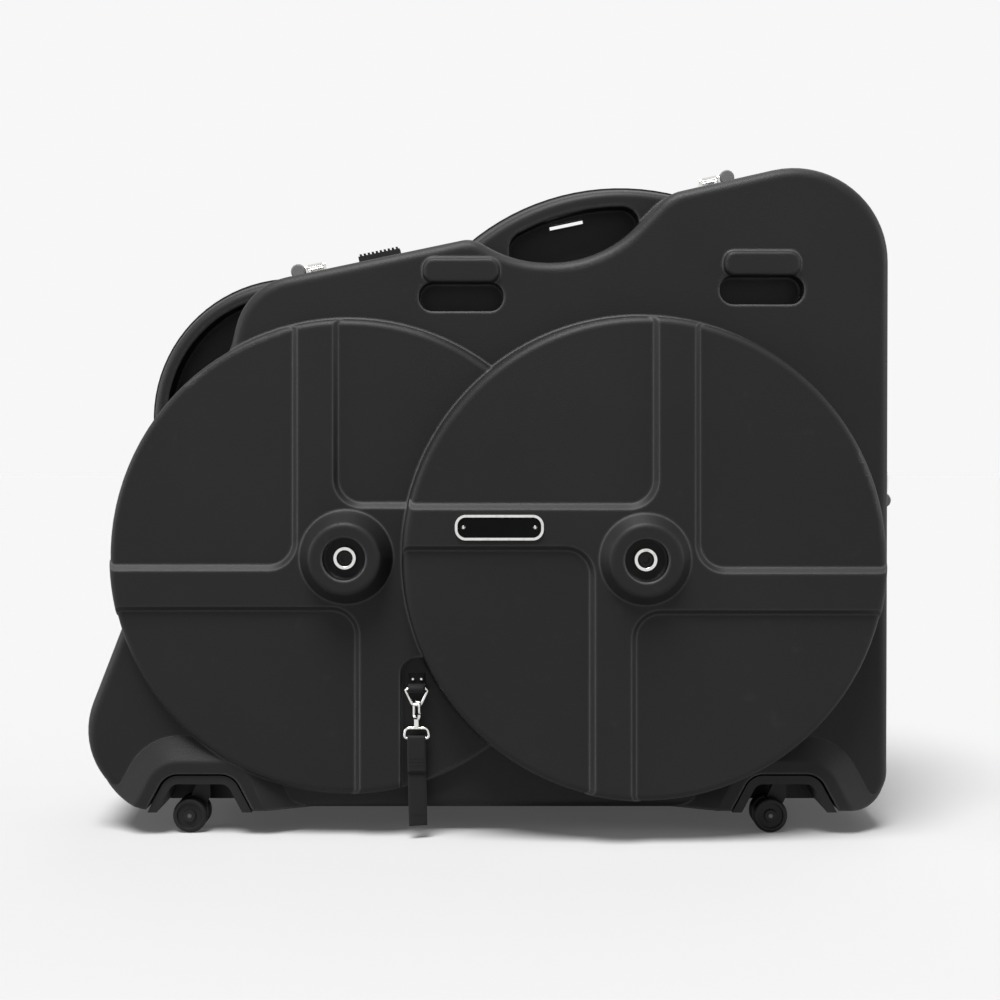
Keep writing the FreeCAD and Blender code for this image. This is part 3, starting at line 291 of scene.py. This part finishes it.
# closed-cell foam sheet
poreLook = {"scale": 420.0, "driftScale": 9.0, "driftDetail": 3.0, "share": 0.5, "dark": 0.035, "pale": 0.075,
            "force": 0.5, "depth": 0.0007, "rough": 0.85, "roughDrift": 0.1}


def closedCellFoam():
    look = poreLook
    finish = Finish("grey_foam")
    pores = finish.cells(look["scale"])
    drift = finish.noise(look["driftScale"], look["driftDetail"])
    patches = look["share"] * drift + look["share"] * pores
    colour = finish.mix(patches, tone(look["dark"]), tone(look["pale"]))
    normal = finish.bump(pores, look["force"], look["depth"])
    rough = look["rough"] + look["roughDrift"] * drift
    return finish.surface(Base_Color=colour, Roughness=rough, Normal=normal)


finishes = {
    "shell": shellPlastic(),
    "seal": rubberCompound("seal_rubber", level=0.012, roughness=0.6),
    "housing": mouldedPlastic("arch_plastic", level=0.012, roughness=0.38),
    "fork": mouldedPlastic("fork_nylon", level=0.014, roughness=0.4),
    "wheel": rubberCompound("wheel_tread", level=0.012, roughness=0.42),
    "steel": platedMetal("zinc_steel", level=0.1, roughness=0.45),
    "chrome": platedMetal("bright_nickel", level=0.78, roughness=0.12),
    "skewer": platedMetal("black_anodising", level=0.02, roughness=0.35),
    "lock": mouldedPlastic("lock_grey", level=0.16, roughness=0.45),
    "badge": glossPlate(),
    "webbing": webbingCloth("strap_webbing", acrossAxis=0, alongAxis=2),
    "foam": closedCellFoam(),
    "buckle": mouldedPlastic("buckle_nylon", level=0.016, roughness=0.4),
}
for subpart in frame["record"]["subparts"]:
    shown = nodes[subpart["node"]].data.materials
    shown.clear()
    shown.append(finishes[subpart["material_slot"]])
print("finishes on", len(finishes), "slots")


# pale studio: one wide floor, even sky, a broad sun from above as the softbox and a strip to each side
studio = {"floorReach": 30.0, "floorTone": 0.425, "floorBounce": 0.2, "floorGlow": 0.06, "floorRough": 0.9,
          "backTone": 0.93, "sky": 0.14}
lamps = {
    "key": {"power": 5.6, "width": 28, "from": (-0.14, -0.36, 0.92)},
    "rim": {"power": 0.5, "width": 40, "from": (0.2, 0.5, 0.84)},
    "left_strip": {"power": 1.1, "width": 30, "from": (-0.97, -0.12, 0.2)},
    "right_strip": {"power": 0.9, "width": 30, "from": (0.97, -0.12, 0.2)},
}


def layFloor():
    mesh = bpy.data.meshes.new("floor")
    shape = bmesh.new()
    bmesh.ops.create_grid(shape, x_segments=1, y_segments=1, size=studio["floorReach"])
    shape.to_mesh(mesh)
    shape.free()
    floor = bpy.data.objects.new("floor", mesh)
    scene.collection.objects.link(floor)
    finish = Finish("studio_floor")
    seen = finish.seen()
    colour = finish.mix(seen, tone(studio["floorBounce"]), tone(studio["floorTone"]))
    glow = finish.mix(seen, tone(0.0), tone(studio["floorGlow"]))
    floor.data.materials.append(finish.surface(Base_Color=colour, Roughness=studio["floorRough"],
                                               Specular_IOR_Level=0.0, Emission_Color=glow,
                                               Emission_Strength=1.0))


def lightStudio():
    for name, setting in lamps.items():
        lamp = bpy.data.objects.new(f"{name}_light", bpy.data.lights.new(f"{name}_light", "SUN"))
        lamp.data.energy = setting["power"]
        lamp.data.angle = math.radians(setting["width"])
        lamp.rotation_mode = "QUATERNION"
        lamp.rotation_quaternion = Vector(setting["from"]).to_track_quat("Z", "Y")
        scene.collection.objects.link(lamp)
    finish = Finish("studio", "worlds")
    strength = studio["sky"] + (studio["backTone"] - studio["sky"]) * finish.seen()
    sky = finish.node("ShaderNodeBackground", None, {"Color": tone(1.0), "Strength": strength})
    finish.node("ShaderNodeOutputWorld", None, {"Surface": sky})
    scene.world = finish.holder


layFloor()
lightStudio()
print("studio lit")


def settle(name, shape, slot, body, *replaced):
    # a finished bmesh as an object at the origin, with its finish, body and the node it stands for
    mesh = bpy.data.meshes.new(name)
    shape.to_mesh(mesh)
    shape.free()
    piece = bpy.data.objects.new(name, mesh)
    scene.collection.objects.link(piece)
    piece.data.materials.append(finishes[slot])
    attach(piece, body)
    if replaced:
        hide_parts(*replaced)
    return piece


def run(shape, row, shift, steps):
    # carries a row of edges along in equal steps and returns the last row
    for step in range(steps):
        grown = bmesh.ops.extrude_edge_only(shape, edges=row)["geom"]
        corners = [item for item in grown if isinstance(item, bmesh.types.BMVert)]
        bmesh.ops.translate(shape, verts=corners, vec=Vector(shift) / steps)
        fresh = [item for item in grown if isinstance(item, bmesh.types.BMEdge)]
        row = [edge for edge in fresh if edge.verts[0] in corners and edge.verts[1] in corners]
    return row


def turnRound(shape, row, centre, angle, steps):
    # carries a row of edges round a bar that lies along X and returns the last row
    corners = list({corner for edge in row for corner in edge.verts})
    spun = bmesh.ops.spin(shape, geom=corners + row, cent=centre, axis=(1, 0, 0), angle=angle,
                          steps=steps, use_merge=False, use_duplicate=False)["geom_last"]
    return [item for item in spun if isinstance(item, bmesh.types.BMEdge)]


def webbingRow(shape, low, high, depth, up, columns):
    # first row of a strap: one edge across its width, cut into columns
    ends = [shape.verts.new((side, depth, up)) for side in (low, high)]
    bmesh.ops.subdivide_edges(shape, edges=[shape.edges.new(ends)], cuts=columns - 1)
    return list(shape.edges)


def thicken(shape, thick):
    # gives a strap its thickness, half to each side of the row it was run from
    bmesh.ops.recalc_face_normals(shape, faces=list(shape.faces))
    bmesh.ops.solidify(shape, geom=list(shape.faces), thickness=thick)
    bmesh.ops.recalc_face_normals(shape, faces=list(shape.faces))
    for face in shape.faces:
        face.smooth = True


def sewRow(shape, spots, long, thick):
    # short sewn threads along X
    for spot in spots:
        bead = bmesh.ops.create_icosphere(shape, subdivisions=1, radius=1.0)["verts"]
        bmesh.ops.scale(shape, vec=(long / 2, thick / 2, thick / 2), verts=bead)
        bmesh.ops.translate(shape, vec=spot, verts=bead)


# pull strap: webbing folded round the D ring, its ends lapped and tacked, its foot a fold
strapLook = {"layer": 0.0019, "half": 0.00105, "ring": 0.0034, "lapEnd": 0.094, "lapStart": 0.101,
             "settle": 0.016, "twist": 14, "drift": 0.0022, "columns": 8,
             "tackRows": (0.1155, 0.1105, 0.1055, 0.0985),
             "tailSteps": 24, "footSteps": 6, "riseSteps": 32, "spreadSteps": 6, "bendSteps": 12,
             "lapSteps": 16, "twistCurve": 1.5, "hemRow": 0.036, "stitchLong": 0.0021, "stitchThick": 0.0007,
             "stitchCount": 9}


def hangStrap(shape, middle, top, foot):
    # the loose end leans to one side and turns a little as it hangs
    for corner in shape.verts:
        share = max(0.0, (top - corner.co.z) / (top - foot))
        turn = Matrix.Rotation(math.radians(strapLook["twist"]) * share ** strapLook["twistCurve"], 3, "Z")
        arm = Vector((corner.co.x - middle.x, corner.co.y - middle.y, 0))
        arm.rotate(turn)
        corner.co.x = middle.x + arm.x + strapLook["drift"] * share
        corner.co.y = middle.y + arm.y


def pullStrap():
    low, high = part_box("pull_strap")
    layer, half, ring = strapLook["layer"], strapLook["half"], strapLook["ring"]
    middle = (low + high) / 2
    barUp = high.z - (high.y - low.y) / 2
    top = barUp - strapLook["settle"]
    foot = low.z + half + layer / 2
    shape = bmesh.new()
    row = webbingRow(shape, low.x, high.x, middle.y - half, strapLook["lapStart"], strapLook["columns"])
    row = run(shape, row, (0, 0, foot - strapLook["lapStart"]), strapLook["tailSteps"])
    row = turnRound(shape, row, (0, middle.y, foot), math.pi, strapLook["footSteps"])
    row = run(shape, row, (0, 0, top - foot), strapLook["riseSteps"])
    row = run(shape, row, (0, ring - half, barUp - top), strapLook["spreadSteps"])
    row = turnRound(shape, row, (0, middle.y, barUp), math.pi, strapLook["bendSteps"])
    run(shape, row, (0, 0, strapLook["lapEnd"] - barUp), strapLook["lapSteps"])
    thicken(shape, layer)
    hangStrap(shape, middle, top, foot)
    settle("pull_strap_webbing", shape, "webbing", "strap", "pull_strap")
    thread = bmesh.new()
    pitch = (high.x - low.x) / (strapLook["stitchCount"] + 1)
    across = [low.x + pitch * (index + 1) for index in range(strapLook["stitchCount"])]
    long, thick = strapLook["stitchLong"], strapLook["stitchThick"]
    for up in strapLook["tackRows"]:
        sewRow(thread, [(x, middle.y - ring - layer / 2, up) for x in across], long, thick)
    sewRow(thread, [(x, middle.y - half - layer / 2, strapLook["hemRow"]) for x in across], long, thick)
    hangStrap(thread, middle, top, foot)
    settle("pull_strap_stitches", thread, "webbing", "strap")


# webbing loop that holds the triangle ring to the case
anchorLook = {"layer": 0.0019, "columns": 6, "dropSteps": 8, "reachSteps": 6, "bendSteps": 12}


def anchorLoop():
    low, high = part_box("strap_anchor")
    layer = anchorLook["layer"]
    ringLow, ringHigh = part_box("triangle_ring")
    barDeep = (ringLow.y + ringHigh.y) / 2
    radius = barDeep - low.y - layer / 2
    barUp = low.z + radius + layer / 2
    wallDeep = high.y - layer / 2
    shape = bmesh.new()
    row = webbingRow(shape, low.x, high.x, wallDeep, high.z, anchorLook["columns"])
    row = run(shape, row, (0, 0, barUp - radius - high.z), anchorLook["dropSteps"])
    row = run(shape, row, (0, barDeep - wallDeep, 0), anchorLook["reachSteps"])
    row = turnRound(shape, row, (0, barDeep, barUp), -math.pi, anchorLook["bendSteps"])
    run(shape, row, (0, wallDeep - layer - barDeep, 0), anchorLook["reachSteps"])
    thicken(shape, layer)
    settle("strap_anchor_webbing", shape, "webbing", "lid", "strap_anchor")


# tie-down bands over the foam: each end is folded forward into a hem and tacked
bandLook = {"layer": 0.0017, "width": 0.038, "columns": 8, "fold": 0.00105, "hem": 0.03,
            "hemSteps": 6, "foldSteps": 6, "lengthSteps": 60,
            "tacks": (0.008, 0.015, 0.022), "stitchLong": 0.0024, "stitchThick": 0.0007, "stitchCount": 11}


def tieBand(name, left, low, high):
    layer, fold, hem = bandLook["layer"], bandLook["fold"], bandLook["hem"]
    deep = (low.y + high.y) / 2
    foot, top = low.z + fold + layer / 2, high.z - fold - layer / 2
    shape = bmesh.new()
    row = webbingRow(shape, left, left + bandLook["width"], deep - 2 * fold, foot + hem, bandLook["columns"])
    row = run(shape, row, (0, 0, -hem), bandLook["hemSteps"])
    row = turnRound(shape, row, (0, deep - fold, foot), math.pi, bandLook["foldSteps"])
    row = run(shape, row, (0, 0, top - foot), bandLook["lengthSteps"])
    row = turnRound(shape, row, (0, deep - fold, top), math.pi, bandLook["foldSteps"])
    run(shape, row, (0, 0, -hem), bandLook["hemSteps"])
    thicken(shape, layer)
    settle(name, shape, "webbing", "root", "tie_straps")
    thread = bmesh.new()
    pitch = bandLook["width"] / (bandLook["stitchCount"] + 1)
    across = [left + pitch * (index + 1) for index in range(bandLook["stitchCount"])]
    face = deep - 2 * fold - layer / 2
    for tack in bandLook["tacks"]:
        for up in (foot + tack, top - tack):
            sewRow(thread, [(x, face, up) for x in across], bandLook["stitchLong"], bandLook["stitchThick"])
    settle(f"{name}_stitches", thread, "webbing", "root")


def tieBands():
    low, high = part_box("tie_straps")
    tieBand("tie_band_left", low.x, low, high)
    tieBand("tie_band_right", high.x - bandLook["width"], low, high)


# foam sheet behind the tie-down straps, cut with a shallow egg-crate face
foamLook = {"weld": 1e-5, "voxel": 0.005, "smoothRounds": 2, "smoothForce": 0.5, "pitch": 0.048,
            "wave": 0.0022, "fill": 0.9}


def foamSheet():
    source = nodes["back_foam"]
    low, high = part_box("back_foam")
    shape = bmesh.new()
    shape.from_mesh(source.data)
    bmesh.ops.remove_doubles(shape, verts=list(shape.verts), dist=foamLook["weld"])
    blank = bpy.data.meshes.new("foam_blank")
    shape.to_mesh(blank)
    shape.free()
    block = bpy.data.objects.new("foam_blank", blank)
    scene.collection.objects.link(block)
    cells = block.modifiers.new("cells", "REMESH")
    cells.mode = "VOXEL"
    cells.voxel_size = foamLook["voxel"]
    bpy.context.view_layer.update()
    worked = bpy.data.meshes.new_from_object(block.evaluated_get(bpy.context.evaluated_depsgraph_get()))
    bpy.data.objects.remove(block)
    shape = bmesh.new()
    shape.from_mesh(worked)
    bpy.data.meshes.remove(worked)
    for step in range(foamLook["smoothRounds"]):
        bmesh.ops.smooth_vert(shape, verts=list(shape.verts), factor=foamLook["smoothForce"],
                              use_axis_x=True, use_axis_y=True, use_axis_z=True)
    turn = 2 * math.pi / foamLook["pitch"]
    front = (low.y + high.y) / 2
    for corner in shape.verts:
        if corner.co.y < front:
            dip = 0.5 - 0.5 * math.sin(corner.co.x * turn) * math.sin(corner.co.z * turn)
            corner.co.y += foamLook["wave"] * dip
    for face in shape.faces:
        face.smooth = True
    piece = settle("foam_sheet", shape, "foam", "root", "back_foam")


pullStrap()
anchorLoop()
tieBands()
foamSheet()
print("straps and foam made")
